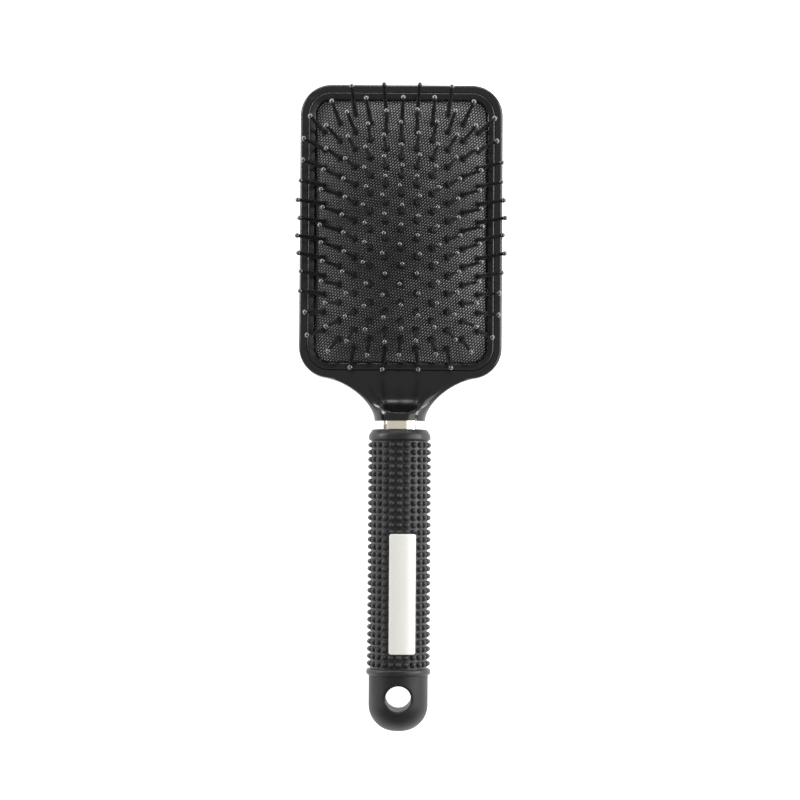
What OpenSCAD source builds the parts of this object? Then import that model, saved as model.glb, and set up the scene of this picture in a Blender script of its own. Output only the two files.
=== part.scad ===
// Paddle hair brush: a glossy rectangular head with a domed rubber cushion of ball-tipped pins,
// a bright ferrule, a ribbed rubber grip with a blank plate, and an end cap with a hanging hole.
// Frame: X across the head, +Y from the handle to the head, +Z the way the pins point.
// Origin: the middle of the head's flat back, which is the face that it rests on.

/* [Head] */
// Width of the head
head_width = 78.5; // [65:0.5:96]
// Length of the head along the handle's line
head_length = 114; // [95:0.5:138]
// Radius of the head's corners, seen from the front
head_corner = 12; // [10:0.5:15]
// Thickness of the head from its back to its rim
head_thickness = 14; // [12:0.1:17]
// Thickness of the back wall
back_wall = 2.6; // [2:0.1:3.6]
// Rounding round the edge of the back
back_edge_radius = 5; // [2:0.5:6]
// Rounding round the edge of the rim
rim_edge_radius = 1.2; // [0.6:0.1:1.5]
// Width of the glossy rim outside the retaining frame
rim_width = 3.15; // [2.6:0.05:4]

/* [Retaining frame] */
// Width of the frame's face
frame_width = 2.8; // [2.3:0.1:3.4]
// Height of the frame's outer edge above the rim
frame_proud = 0.5; // [0.2:0.1:1]
// Fall of the frame's face from its outer to its inner edge
frame_fall = 0.8; // [0.5:0.1:2]
// Thickness of the skirt that snaps into the head
skirt_thickness = 1.5; // [1.2:0.1:1.6]
// Depth of the skirt under the frame's face
skirt_depth = 5; // [3:0.5:6]
// Width of the wall that the cushion's flange sits on
ledge_width = 2.2; // [1.6:0.1:3]

/* [Cushion] */
// Thickness of the rubber
membrane = 1.6; // [1.2:0.1:2]
// Thickness of the flange that the frame clamps
flange_thickness = 1.2; // [0.8:0.1:1.6]
// Height of the crown above the cushion's edge
crown_height = 7; // [5:0.1:9]
// Depth of the cushion's edge below the frame's inner edge
edge_drop = 1; // [0.4:0.1:1.2]
// Roundness of the dome from side to side
side_power = 2.7; // [2:0.1:4]
// Roundness of the dome from end to end
end_power = 3; // [2:0.1:4]

/* [Pins] */
// Distance between columns of pins
column_pitch = 6; // [5:0.1:7.5]
// Distance between pins along a column
row_pitch = 7; // [5.8:0.1:8.5]
// Smallest distance from a column to the frame
side_margin = 3; // [2.6:0.1:4]
// Smallest distance from a pin to the frame at the ends
end_margin = 5; // [3.5:0.1:7]
// Length of a pin outside the rubber
pin_length = 19.6; // [16:0.1:24]
// Diameter of a pin at the rubber
pin_root_d = 2; // [1.6:0.1:2.4]
// Diameter of a pin under its ball
pin_tip_d = 1.3; // [1:0.1:1.6]
// Diameter of the ball tip
ball_d = 1.9; // [1.7:0.1:2.4]
// Diameter of the head under the rubber
pin_head_d = 3.2; // [2.6:0.1:3.8]
// Thickness of the head under the rubber
pin_head_t = 0.8; // [0.5:0.1:1.2]
// How far the tips of the outer columns lean out
side_lean = 9.7; // [5:0.1:11]
// How far the tips of the end rows lean out
end_lean = 9.9; // [5:0.1:11]
// Number of zones that the pins sink in, from crown to edge
zones = 12; // [6:1:16]

/* [Neck and ferrule] */
// Length of the neck
neck_length = 16.5; // [13:0.1:20]
// Diameter of the neck's round end
neck_end_d = 19.7; // [19:0.1:22]
// Radius of the scoop in the front of the neck
scoop_radius = 15; // [12.5:0.5:18]
// Outer diameter of the ferrule
ferrule_d = 17.4; // [16.8:0.1:18.2]
// Wall of the ferrule
ferrule_wall = 0.8; // [0.5:0.1:1]
// Length of the ferrule that shows
ferrule_shown = 3.3; // [2:0.1:6]
// Length of the ferrule hidden at each end
ferrule_tuck = 1.5; // [1:0.1:2.5]

/* [Grip] */
// Diameter over the ribs
grip_d = 24.4; // [23.6:0.1:30]
// Height of the ribs
rib_height = 1.3; // [0.8:0.1:1.4]
// Distance between ribs
rib_pitch = 2.8; // [2.4:0.01:3.5]
// Number of ribs
rib_count = 31; // [20:1:38]
// Length of the smooth collar at the top of the grip
collar_length = 4.1; // [3:0.1:6]
// Width of the groove at each end of the ribs
groove_width = 0.5; // [0.3:0.1:1.5]
// Diameter of the collar's top
collar_top_d = 21; // [20:0.1:23]
// Diameter of the bead at the bottom of the grip
bead_d = 24.8; // [24.6:0.1:31]
// Thickness of the bead
bead_thickness = 2.5; // [2:0.1:3]
// Outer diameter of the core inside the grip
core_d = 17.2; // [16.4:0.1:18.4]
// Bore of the core
core_bore_d = 13; // [11:0.1:13.4]
// Length of the spigots that join the core
spigot_length = 22; // [14:1:30]

/* [Name plate] */
// Width of the blank plate
plate_width = 10.7; // [8:0.1:12]
// Length of the blank plate
plate_length = 45.9; // [36:0.1:58]
// Thickness of the plate
plate_thickness = 1.6; // [1.4:0.1:2]
// Distance from the bead to the plate
plate_from_bead = 5.9; // [4:0.1:12]
// Angle of the plate round the grip
plate_turn = 7; // [-15:1:15]

/* [End cap] */
// Diameter of the cap
cap_d = 22.8; // [22:0.1:29]
// Length of the cap that shows
cap_length = 21.6; // [18:0.1:26]
// Rounding of the cap's end
cap_round = 10.2; // [7:0.1:10.5]
// Diameter of the hanging hole
hole_d = 9.8; // [7.8:0.1:11]
// Distance from the hole's middle to the cap's end
hole_from_end = 13; // [11:0.1:14.5]
// Width of the chamfer round the hole's mouths
hole_chamfer = 0.7; // [0.4:0.1:1]

/* [Hidden] */
STRUCTURE = ["paddle_body", "retaining_frame", "cushion_pad", "ferrule",
             "handle_core", "grip_sleeve", "name_plate", "end_cap"];
function zone_name(zone) = str("pins_zone_", zone);

$fn = 96;
neck_steps = 12;        // steps along the neck's flare
dome_columns = 22;      // cells of the cushion across
dome_rows = 32;         // cells of the cushion along
fit = 0.05;             // clearance of parts pushed together
pin_fit = 0.06;         // clearance round a pin in the rubber
through = 1;            // how far a cutting tool runs past its part
far = 200;              // longer than any part

// Levels of the head, from its back up
frame_outer_z = head_thickness + frame_proud;
frame_inner_z = frame_outer_z - frame_fall;
pad_edge_z = frame_inner_z - edge_drop;
flange_top_z = pad_edge_z - 0.9;
ledge_z = flange_top_z - flange_thickness;

// Outlines of the head, from the outside in: [width, length, corner radius]
function inset(outline, by) =
    [outline[0] - 2 * by, outline[1] - 2 * by, max(outline[2] - by, 0.8)];
head_outline = [head_width, head_length, head_corner];
seat_outline = inset(head_outline, rim_width);
frame_outline = inset(seat_outline, fit);
opening_outline = inset(frame_outline, frame_width);
skirt_inner_outline = inset(frame_outline, skirt_thickness);
ledge_outline = inset(skirt_inner_outline, 2 * fit);
chamber_outline = inset(ledge_outline, ledge_width);
pad_outline = inset(opening_outline, 0.15);
flange_outline = inset(ledge_outline, fit);
half_open_w = opening_outline[0] / 2;
half_open_l = opening_outline[1] / 2;

// Places along the handle, from the head down
neck_root_y = -head_length / 2;
neck_end_y = neck_root_y - neck_length;
grip_top_y = neck_end_y - ferrule_shown;
core_top_y = grip_top_y - ferrule_tuck;
ribs_top_y = grip_top_y - collar_length - groove_width;
bead_top_y = ribs_top_y - rib_count * rib_pitch - groove_width;
grip_end_y = bead_top_y - bead_thickness;
cap_end_y = grip_end_y - cap_length;
hole_y = cap_end_y + hole_from_end;
axis_z = bead_d / 2 + 0.05;
core_length = core_top_y - grip_end_y;
grip_root_r = grip_d / 2 - rib_height;
ferrule_r = ferrule_d / 2;
ferrule_bore_r = ferrule_r - ferrule_wall;
plate_r = grip_d / 2 - 0.1;
plate_seat_r = plate_r - plate_thickness;
plate_mid_y = grip_end_y + bead_thickness + plate_from_bead + plate_length / 2;

// ---------- shared shapes ----------

module round_rect(outline) {
    reach = [outline[0] / 2 - outline[2], outline[1] / 2 - outline[2]];
    square([outline[0], 2 * reach[1]], center = true);
    square([2 * reach[0], outline[1]], center = true);
    for (sx = [-1, 1], sy = [-1, 1])
        translate([sx * reach[0], sy * reach[1]]) circle(outline[2]);
}

module round_plate(outline, from_z, to_z) {
    translate([0, 0, from_z]) linear_extrude(to_z - from_z) round_rect(outline);
}

module round_ring(outer, inner, from_z, to_z) {
    difference() {
        round_plate(outer, from_z, to_z);
        round_plate(inner, from_z - through, to_z + through);
    }
}

// Lies along the handle's axis, from one place down to a lower one
module along_handle(from_y, to_y) {
    translate([0, from_y, axis_z]) rotate([90, 0, 0]) children();
}

module handle_rod(from_y, to_y, radius) {
    along_handle(from_y, to_y) cylinder(h = from_y - to_y, r = radius);
}

module handle_tube(from_y, to_y, radius, bore) {
    difference() {
        handle_rod(from_y, to_y, radius);
        handle_rod(from_y + through, to_y - through, bore);
    }
}

// ---------- head ----------

// Half of the head's cross-section from its middle to its edge
module head_half_section(reach) {
    back = back_edge_radius;
    front = rim_edge_radius;
    square([reach - back, head_thickness - front]);
    translate([0, back]) square([reach, head_thickness - back - front]);
    square([reach - max(back, front), head_thickness]);
    translate([0, back]) square([reach - front, head_thickness - back]);
    intersection() {
        square([reach, head_thickness]);
        union() {
            translate([reach - back, back]) circle(back);
            translate([reach - front, head_thickness - front]) circle(front);
        }
    }
}

module head_bar(width, run) {
    rotate([90, 0, 0]) linear_extrude(run, center = true) {
        head_half_section(width / 2);
        mirror([1, 0]) head_half_section(width / 2);
    }
}

module head_slab() {
    run_x = head_width - 2 * head_corner;
    run_y = head_length - 2 * head_corner;
    head_bar(head_width, run_y);
    rotate([0, 0, 90]) head_bar(head_length, run_x);
    for (sx = [-1, 1], sy = [-1, 1])
        translate([sx * run_x / 2, sy * run_y / 2, 0])
            rotate_extrude() head_half_section(head_corner);
}

// The neck is a trumpet round the handle's axis: t is 0 at the head and 1 at the round end
neck_root_half = head_width / 2 - head_corner + 0.4;
flare_share = 0.85;     // share of the flare that falls steadily down the neck
flare_power = 1.9;      // how fast that share falls
corner_power = 24;      // how fast the rest falls, close to the head
neck_sink = 5;          // length of the neck inside the head
neck_inset = 0.02;      // keeps the neck's faces just inside the head's own
function neck_half_width(t) =
    neck_end_d / 2 + (neck_root_half - neck_end_d / 2)
    * (flare_share * pow(1 - t, flare_power) + (1 - flare_share) * pow(1 - t, corner_power));

module neck() {
    flare = [for (k = [0:neck_steps])
        let (t = pow(k / neck_steps, 1.5)) [neck_half_width(t), neck_sink + neck_length * t]];
    difference() {
        along_handle(neck_root_y + neck_sink) rotate_extrude()
            polygon(concat([[0, 0], [neck_half_width(0), 0]], flare, [[0, neck_sink + neck_length]]));
        translate([-far / 2, neck_root_y - far / 2, neck_inset - far]) cube([far, far, far]);
        translate([-far / 2, neck_root_y - neck_inset, head_thickness - neck_inset]) cube([far, far, far]);
        translate([0, neck_root_y, head_thickness - neck_inset + scoop_radius])
            rotate([0, 90, 0]) cylinder(h = far, r = scoop_radius, center = true);
    }
}

module paddle_body() {
    color([0.09, 0.09, 0.10]) {
        difference() {
            union() {
                head_slab();
                neck();
            }
            round_plate(seat_outline, ledge_z, frame_outer_z + through);
            round_plate(chamber_outline, back_wall, ledge_z + through);
            round_ring(seat_outline, ledge_outline, ledge_z - skirt_depth - 1, ledge_z + through);
            handle_tube(neck_end_y + ferrule_tuck, neck_end_y - through, ferrule_r + fit, ferrule_bore_r - fit);
        }
        handle_rod(neck_end_y + ferrule_tuck, core_top_y + fit, ferrule_bore_r - fit);
        handle_rod(neck_end_y, core_top_y - spigot_length, core_bore_d / 2 - fit);
    }
}

module retaining_frame() {
    face = [
        [0, frame_inner_z - 0.6], [-0.6, frame_inner_z], [-frame_width + 0.5, frame_outer_z],
        [-frame_width, frame_outer_z - 0.5], [-frame_width, ledge_z - skirt_depth],
        [-frame_width + skirt_thickness, ledge_z - skirt_depth],
        [-frame_width + skirt_thickness, flange_top_z], [0, flange_top_z]
    ];
    corner = opening_outline[2];
    run_x = opening_outline[0] - 2 * corner;
    run_y = opening_outline[1] - 2 * corner;
    color([0.11, 0.11, 0.12]) {
        for (turn = [0, 180]) rotate([0, 0, turn]) {
            translate([opening_outline[0] / 2, 0, 0]) rotate([90, 0, 0])
                linear_extrude(run_y, center = true) mirror([1, 0]) polygon(face);
            translate([0, opening_outline[1] / 2, 0]) rotate([90, 0, 90])
                linear_extrude(run_x, center = true) mirror([1, 0]) polygon(face);
            for (side = [0, 1]) mirror([side, 0, 0])
                translate([run_x / 2, run_y / 2, 0])
                    rotate_extrude(angle = 90) translate([corner, 0]) mirror([1, 0]) polygon(face);
        }
    }
}

// ---------- cushion and pins ----------

function dome_share(x, y) =
    max(0, 1 - pow(abs(x) / half_open_w, side_power)) * max(0, 1 - pow(abs(y) / half_open_l, end_power));
function dome_z(x, y) = pad_edge_z + crown_height * dome_share(x, y);

// Rows and columns: every other column is shifted by half a pitch
side_columns = floor((half_open_w - side_margin) / column_pitch + 0.001);
outer_x = side_columns * column_pitch;
function shifted(column) = abs(column - side_columns) % 2 == 0;
function rows_each_way(column) =
    floor((half_open_l - end_margin - (shifted(column) ? row_pitch / 2 : 0)) / row_pitch + 0.001);
function column_rows(column) =
    let (n = rows_each_way(column))
    shifted(column) ? [for (k = [-n - 1:n]) (k + 0.5) * row_pitch] : [for (k = [-n:n]) k * row_pitch];
outer_y = max([for (y = column_rows(side_columns)) y]);
PINS = [
    for (column = [-side_columns:side_columns], y = column_rows(column))
        if (abs(column) < side_columns || abs(y) < outer_y - 1) [column * column_pitch, y]
];

// Lean of a tip from its root, with a small natural scatter
side_lean_power = 1.7;
end_lean_power = 3;
side_ease = 0.6;        // how much less a corner pin leans to its side
end_ease = 0.5;         // how much less a corner pin leans to its end
scatter = 0.6;
function pin_lean(pin) =
    let (u = abs(pin[0]) / outer_x, v = abs(pin[1]) / outer_y)
    [sign(pin[0]) * side_lean * pow(u, side_lean_power) * (1 - side_ease * v * v)
         + scatter * sin(137 * pin[0] + 71 * pin[1]),
     sign(pin[1]) * end_lean * pow(v, end_lean_power) * (1 - end_ease * u * u)
         + scatter * sin(53 * pin[0] - 97 * pin[1])];
function pin_tilt(pin) = asin(norm(pin_lean(pin)) / pin_length);
function pin_heading(pin) = atan2(pin_lean(pin)[1], pin_lean(pin)[0]);

// Zones: bands of equal height on the dome, counted from the crown
zone_span = 0.88;
function zone_of(pin) =
    1 + floor(min(0.999, (1 - dome_share(pin[0], pin[1])) / zone_span) * zones);

module at_pin(pin) {
    translate([pin[0], pin[1], dome_z(pin[0], pin[1])])
        rotate([0, pin_tilt(pin), pin_heading(pin)]) children();
}

head_top = -membrane - 0.35;    // top of a pin's head, along the pin from the rubber's surface
neck_top = 1;                   // end of the pin's straight root, outside the rubber

module ball_pin() {
    ball_r = ball_d / 2;
    translate([0, 0, head_top - pin_head_t]) cylinder(h = pin_head_t, d = pin_head_d, $fn = 32);
    translate([0, 0, head_top - pin_head_t / 2])
        cylinder(h = neck_top - head_top + pin_head_t / 2, d = pin_root_d, $fn = 32);
    translate([0, 0, neck_top])
        cylinder(h = pin_length - ball_r - neck_top, d1 = pin_root_d, d2 = pin_tip_d, $fn = 32);
    translate([0, 0, pin_length - ball_r]) sphere(ball_r, $fn = 32);
}

module pins_zone(zone) {
    color([0.07, 0.07, 0.075])
        for (pin = PINS) if (zone_of(pin) == zone) at_pin(pin) ball_pin();
}

// The rubber between two surfaces of the same dome
module domed_sheet() {
    function spot(i, j) =
        [half_open_w * (2 * i / dome_columns - 1), half_open_l * (2 * j / dome_rows - 1)];
    across = dome_columns + 1;
    count = across * (dome_rows + 1);
    top = [for (j = [0:dome_rows], i = [0:dome_columns])
        let (p = spot(i, j)) [p[0], p[1], dome_z(p[0], p[1])]];
    bottom = [for (p = top) [p[0], p[1], p[2] - membrane]];
    function at(i, j) = j * across + i;
    cells = [for (j = [0:dome_rows - 1], i = [0:dome_columns - 1])
        each [[at(i, j), at(i + 1, j + 1), at(i + 1, j)], [at(i, j), at(i, j + 1), at(i + 1, j + 1)]]];
    under = [for (f = cells) [f[0] + count, f[2] + count, f[1] + count]];
    border = concat(
        [for (i = [0:dome_columns - 1]) at(i, 0)],
        [for (j = [0:dome_rows - 1]) at(dome_columns, j)],
        [for (i = [dome_columns:-1:1]) at(i, dome_rows)],
        [for (j = [dome_rows:-1:1]) at(0, j)]
    );
    n = len(border);
    sides = [for (k = [0:n - 1])
        let (a = border[k], b = border[(k + 1) % n])
        each [[a, b, b + count], [a, b + count, a + count]]];
    polyhedron(concat(top, bottom), concat(cells, under, sides), convexity = 4);
}

module cushion_pad() {
    color([0.16, 0.16, 0.17])
        difference() {
            union() {
                intersection() {
                    domed_sheet();
                    round_plate(pad_outline, 0, far);
                }
                round_ring(flange_outline, inset(pad_outline, 1), ledge_z, flange_top_z);
            }
            for (pin = PINS) at_pin(pin)
                translate([0, 0, head_top])
                    cylinder(h = neck_top - head_top, r = pin_root_d / 2 + pin_fit, $fn = 32);
        }
}

// ---------- handle ----------

module ferrule() {
    color([0.85, 0.85, 0.87])
        handle_tube(neck_end_y + ferrule_tuck - fit, core_top_y + fit, ferrule_r, ferrule_bore_r);
}

module handle_core() {
    color([0.2, 0.2, 0.21]) handle_tube(core_top_y, grip_end_y + fit, core_d / 2, core_bore_d / 2);
}

// Outline of the grip: radius against distance down from the grip's top
function rib(at) = [
    [grip_root_r, at + 0.55], [grip_d / 2, at + 1.15],
    [grip_d / 2, at + rib_pitch - 1.15], [grip_root_r, at + rib_pitch - 0.55]
];
function grip_outline() =
    let (
        ribs_from = grip_top_y - ribs_top_y,
        bead_from = grip_top_y - bead_top_y,
        collar_r = grip_d / 2,
        bead_half = bead_thickness / 2
    )
    concat(
        [[core_d / 2 + fit, 0], [collar_top_d / 2 - 0.6, 0], [collar_top_d / 2, 0.5]],
        [for (a = [20:14:90]) [collar_top_d / 2 + (collar_r - collar_top_d / 2) * sin(a),
                               0.5 + (collar_length - 1.1) * (1 - cos(a))]],
        [[collar_r, collar_length - 0.4], [grip_root_r, collar_length]],
        [for (k = [0:rib_count - 1]) each rib(ribs_from + k * rib_pitch)],
        [for (a = [-60:15:60]) [bead_d / 2 - bead_half * (1 - cos(a)),
                                bead_from + bead_half * (1 + sin(a))]],
        [[core_d / 2 + fit, bead_from + bead_thickness]]
    );

module plate_block(extra) {
    translate([0, plate_mid_y, axis_z]) rotate([0, plate_turn, 0])
        translate([-plate_width / 2 - extra, -plate_length / 2 - extra, 0])
            cube([plate_width + 2 * extra, plate_length + 2 * extra, grip_d]);
}

module grip_sleeve() {
    color([0.27, 0.27, 0.28])
        difference() {
            along_handle(grip_top_y) rotate_extrude() polygon(grip_outline());
            handle_rod(grip_top_y + through, core_top_y - fit, ferrule_r + fit);
            intersection() {
                handle_tube(0, cap_end_y, grip_d, plate_seat_r);
                plate_block(fit);
            }
        }
}

module name_plate() {
    color([0.88, 0.87, 0.85])
        intersection() {
            handle_tube(0, cap_end_y, plate_r, plate_seat_r + fit);
            plate_block(0);
        }
}

module end_cap() {
    straight = cap_length - cap_round - fit;
    flat_r = cap_d / 2 - cap_round;
    color([0.25, 0.25, 0.26])
        difference() {
            union() {
                along_handle(grip_end_y - fit) rotate_extrude() {
                    square([cap_d / 2, straight]);
                    square([flat_r, straight + cap_round]);
                    intersection() {
                        translate([flat_r, straight]) circle(cap_round);
                        square([cap_d / 2, straight + cap_round]);
                    }
                }
                handle_rod(grip_end_y + spigot_length, grip_end_y - 1, core_bore_d / 2 - fit);
            }
            handle_rod(grip_end_y + spigot_length + through, grip_end_y + 2, core_bore_d / 2 - 2);
            translate([0, hole_y, axis_z]) {
                cylinder(h = far, d = hole_d, center = true);
                for (side = [0, 1]) mirror([0, 0, side])
                    translate([0, 0, cap_d / 2 - 2 * hole_chamfer])
                        cylinder(h = 4 * hole_chamfer, r1 = hole_d / 2, r2 = hole_d / 2 + 3 * hole_chamfer);
            }
        }
}

paddle_body();
retaining_frame();
cushion_pad();
ferrule();
handle_core();
grip_sleeve();
name_plate();
end_cap();
for (zone = [1:zones]) pins_zone(zone);
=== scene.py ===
"""Paddle hair brush: the visible meshes and finishes, built round its packed exact model.

Lengths are in metres in the model's own frame: +X across the head, +Y from the handle to the
head, +Z the way the pins point, and the origin in the middle of the head's flat back.
"""

import logging
import math
from dataclasses import dataclass
from enum import Enum
from functools import cached_property
from typing import Callable, Iterable, Sequence

import bmesh
import bpy
import numpy as np
from mathutils import Matrix, Vector


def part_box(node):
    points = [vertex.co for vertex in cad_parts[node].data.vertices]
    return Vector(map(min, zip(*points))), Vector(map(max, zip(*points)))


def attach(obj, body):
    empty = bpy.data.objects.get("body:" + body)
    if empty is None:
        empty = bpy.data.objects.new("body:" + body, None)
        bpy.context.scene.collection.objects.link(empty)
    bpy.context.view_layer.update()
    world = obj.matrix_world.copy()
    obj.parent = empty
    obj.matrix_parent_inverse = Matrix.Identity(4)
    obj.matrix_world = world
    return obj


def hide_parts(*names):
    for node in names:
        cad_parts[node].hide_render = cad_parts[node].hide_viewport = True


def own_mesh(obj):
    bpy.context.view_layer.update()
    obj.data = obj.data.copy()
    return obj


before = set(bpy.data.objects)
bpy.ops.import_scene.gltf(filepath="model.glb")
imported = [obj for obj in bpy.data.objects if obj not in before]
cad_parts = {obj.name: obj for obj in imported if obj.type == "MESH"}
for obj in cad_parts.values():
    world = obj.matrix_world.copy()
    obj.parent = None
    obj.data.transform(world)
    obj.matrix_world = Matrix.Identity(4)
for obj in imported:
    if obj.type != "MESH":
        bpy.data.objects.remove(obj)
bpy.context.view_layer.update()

LOG = logging.getLogger("brush")
MM = 0.001


# ---------------------------------------------------------------- small mathematics


def eased(t: np.ndarray | float) -> np.ndarray | float:
    """Gives the smooth step of t, held between 0 and 1."""
    t = np.clip(t, 0.0, 1.0)
    return t * t * (3.0 - 2.0 * t)


def soft_min(a: np.ndarray, b: np.ndarray, width: np.ndarray | float) -> np.ndarray:
    """Gives the smaller of two heights, with the crease between them rounded.

    Args:
        a: First heights.
        b: Second heights.
        width: How far from the crease the rounding reaches; 0 keeps it sharp.

    Returns:
        The rounded minimum, never above the true one.
    """
    width = np.maximum(width, 1e-9)
    near = np.maximum(width - np.abs(a - b), 0.0) / width
    return np.minimum(a, b) - near * near * width / 4.0


def filleted(corners: Sequence[tuple[float, float, float]], closed: bool, steps: int = 5) -> np.ndarray:
    """Rounds the corners of a drawn outline with arcs.

    Args:
        corners: Points of the outline as (x, y, radius); a radius of 0 keeps the corner sharp.
        closed: Whether the last corner joins the first.
        steps: Number of segments in each arc.

    Returns:
        The points of the rounded outline, one row each.
    """
    points: list[np.ndarray] = []
    count = len(corners)
    for k, (x, y, radius) in enumerate(corners):
        here = np.array([x, y])
        if radius <= 0 or (not closed and k in (0, count - 1)):
            points.append(here)
            continue
        before = np.array(corners[k - 1][:2]) - here
        after = np.array(corners[(k + 1) % count][:2]) - here
        before /= np.linalg.norm(before)
        after /= np.linalg.norm(after)
        half = math.acos(float(np.clip(before @ after, -1, 1))) / 2.0
        bisector = (before + after) / np.linalg.norm(before + after)
        middle = here + bisector * radius / math.sin(half)
        start = here + before * radius / math.tan(half) - middle
        end = here + after * radius / math.tan(half) - middle
        turn = math.atan2(start[0] * end[1] - start[1] * end[0], float(start @ end))
        for step in range(steps + 1):
            a = turn * step / steps
            cos, sin = math.cos(a), math.sin(a)
            points.append(middle + [cos * start[0] - sin * start[1], sin * start[0] + cos * start[1]])
    return np.array(points)


@dataclass(frozen=True)
class Outline:
    """A rounded rectangle in plan, whose insets share the same corner centres.

    The points run from the bottom edge's right end, round by the right side, to its left end.
    """

    half_width: float
    half_length: float
    radius: float
    arc_steps: int = 14
    side_steps: int = 26
    end_steps: int = 18

    def inset(self, by: float) -> "Outline":
        """Gives the outline that lies the given distance inside this one."""
        return Outline(
            self.half_width - by, self.half_length - by, max(self.radius - by, 0.2 * MM),
            self.arc_steps, self.side_steps, self.end_steps,
        )

    def centres(self) -> list[tuple[float, float]]:
        """Gives the corner arcs' centres in the order that the points pass them."""
        x, y = self.half_width - self.radius, self.half_length - self.radius
        return [(x, -y), (x, y), (-x, y), (-x, -y)]

    def arc(self, corner: int, start_angle: float, end_angle: float) -> np.ndarray:
        """Gives the points of one corner's arc.

        Args:
            corner: Number of the corner, 0 at the bottom right and on anticlockwise.
            start_angle: First angle in degrees, from +X.
            end_angle: Last angle in degrees.

        Returns:
            The arc's points, one row each.
        """
        angles = np.radians(np.linspace(start_angle, end_angle, self.arc_steps + 1))
        centre = np.array(self.centres()[corner])
        return centre + self.radius * np.column_stack([np.cos(angles), np.sin(angles)])

    def open_points(self, first: float = -90.0, last: float = 270.0) -> np.ndarray:
        """Gives the points from the first corner's arc round to the last one's.

        Args:
            first: Angle in degrees at which the first arc starts.
            last: Angle in degrees at which the last arc ends.

        Returns:
            The points, one row each, with the bottom edge left open.
        """
        arcs = [self.arc(0, first, 0), self.arc(1, 0, 90), self.arc(2, 90, 180), self.arc(3, 180, last)]
        runs = [self.side_steps, self.end_steps, self.side_steps]
        parts = [arcs[0]]
        for before, after, steps in zip(arcs, arcs[1:], runs):
            parts.append(between(before[-1], after[0], steps)[1:-1])
            parts.append(after)
        return np.vstack(parts)

    def loop(self) -> np.ndarray:
        """Gives the points of the whole closed outline."""
        points = self.open_points()
        return np.vstack([points, between(points[-1], points[0], self.end_steps)[1:-1]])


def between(start: Sequence[float], end: Sequence[float], steps: int) -> np.ndarray:
    """Gives evenly spaced points from start to end, both included."""
    return np.linspace(np.asarray(start, float), np.asarray(end, float), steps + 1)


def bezier(controls: Sequence[tuple[float, float]], steps: int) -> np.ndarray:
    """Gives the points of a cubic curve.

    Args:
        controls: The curve's four control points.
        steps: Number of segments.

    Returns:
        The points, one row each, both ends included.
    """
    t = np.linspace(0.0, 1.0, steps + 1)[:, None]
    p = [np.array(c, float) for c in controls]
    return (1 - t) ** 3 * p[0] + 3 * (1 - t) ** 2 * t * p[1] + 3 * (1 - t) * t * t * p[2] + t**3 * p[3]


def distance_to_line(points: np.ndarray, line: np.ndarray) -> np.ndarray:
    """Gives each point's distance to a chain of segments.

    Args:
        points: Points in plan, one row each.
        line: The chain's points, one row each.

    Returns:
        One distance for each point.
    """
    start, run = line[:-1], line[1:] - line[:-1]
    length = np.maximum((run**2).sum(1), 1e-18)
    best = np.full(len(points), np.inf)
    for block in np.array_split(np.arange(len(points)), max(1, len(points) // 4000)):
        offset = points[block, None, :] - start
        share = np.clip((offset * run).sum(2) / length, 0.0, 1.0)
        best[block] = np.sqrt(((offset - share[..., None] * run) ** 2).sum(2)).min(1)
    return best


# ---------------------------------------------------------------- mesh making


class Sketch:
    """Collects rings and grids of points and turns them into one mesh object."""

    def __init__(self, name: str) -> None:
        """Starts an empty sketch for the piece with this name."""
        self.name = name
        self.points: list[np.ndarray] = []
        self.quads: list[np.ndarray] = []
        self.polygons: list[list[int]] = []
        self.count = 0

    def add_points(self, points: np.ndarray) -> np.ndarray:
        """Adds points of any grid shape and gives their numbers in the same shape."""
        flat = np.asarray(points, float).reshape(-1, 3)
        numbers = np.arange(self.count, self.count + len(flat)).reshape(np.shape(points)[:-1])
        self.points.append(flat)
        self.count += len(flat)
        return numbers

    def add_quads(self, numbers: np.ndarray, around: bool = False, along: bool = False) -> None:
        """Fills a grid of point numbers with quads.

        Args:
            numbers: Rows and columns of point numbers.
            around: Whether the last column joins the first.
            along: Whether the last row joins the first.
        """
        if around:
            numbers = np.hstack([numbers, numbers[:, :1]])
        if along:
            numbers = np.vstack([numbers, numbers[:1]])
        a, b = numbers[:-1, :-1], numbers[:-1, 1:]
        c, d = numbers[1:, 1:], numbers[1:, :-1]
        self.quads.append(np.stack([a, b, c, d], axis=-1).reshape(-1, 4))

    def add_grid(self, points: np.ndarray, around: bool = False, along: bool = False) -> np.ndarray:
        """Adds a grid of points with its quads and gives the points' numbers."""
        numbers = self.add_points(points)
        self.add_quads(numbers, around, along)
        return numbers

    def add_cap(self, ring: Iterable[int], flip: bool = False) -> None:
        """Closes a ring of point numbers with one face."""
        ring = [int(k) for k in ring]
        self.polygons.append(ring[::-1] if flip else ring)

    def build(self, sharp: float = 40.0, weld: float = 0.0) -> bpy.types.Object:
        """Makes the mesh object, smooth but for its sharp edges.

        Args:
            sharp: Angle in degrees above which an edge is drawn sharp.
            weld: Distance within which points are joined; 0 joins none.

        Returns:
            The new object, linked into the scene.
        """
        faces = [quad for block in self.quads for quad in block.tolist()] + self.polygons
        mesh = bpy.data.meshes.new(self.name)
        mesh.from_pydata(np.vstack(self.points).tolist(), [], faces)
        if weld:
            join_close_points(mesh, weld)
        mesh.validate()
        point_outward(mesh)
        mesh.shade_smooth()
        mesh.set_sharp_from_angle(angle=math.radians(sharp))
        piece = bpy.data.objects.new(self.name, mesh)
        bpy.context.scene.collection.objects.link(piece)
        return piece


def join_close_points(mesh: bpy.types.Mesh, distance: float) -> None:
    """Joins a mesh's points that lie within a distance of each other."""
    sheet = bmesh.new()
    sheet.from_mesh(mesh)
    bmesh.ops.remove_doubles(sheet, verts=sheet.verts, dist=distance)
    sheet.to_mesh(mesh)
    sheet.free()


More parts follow.
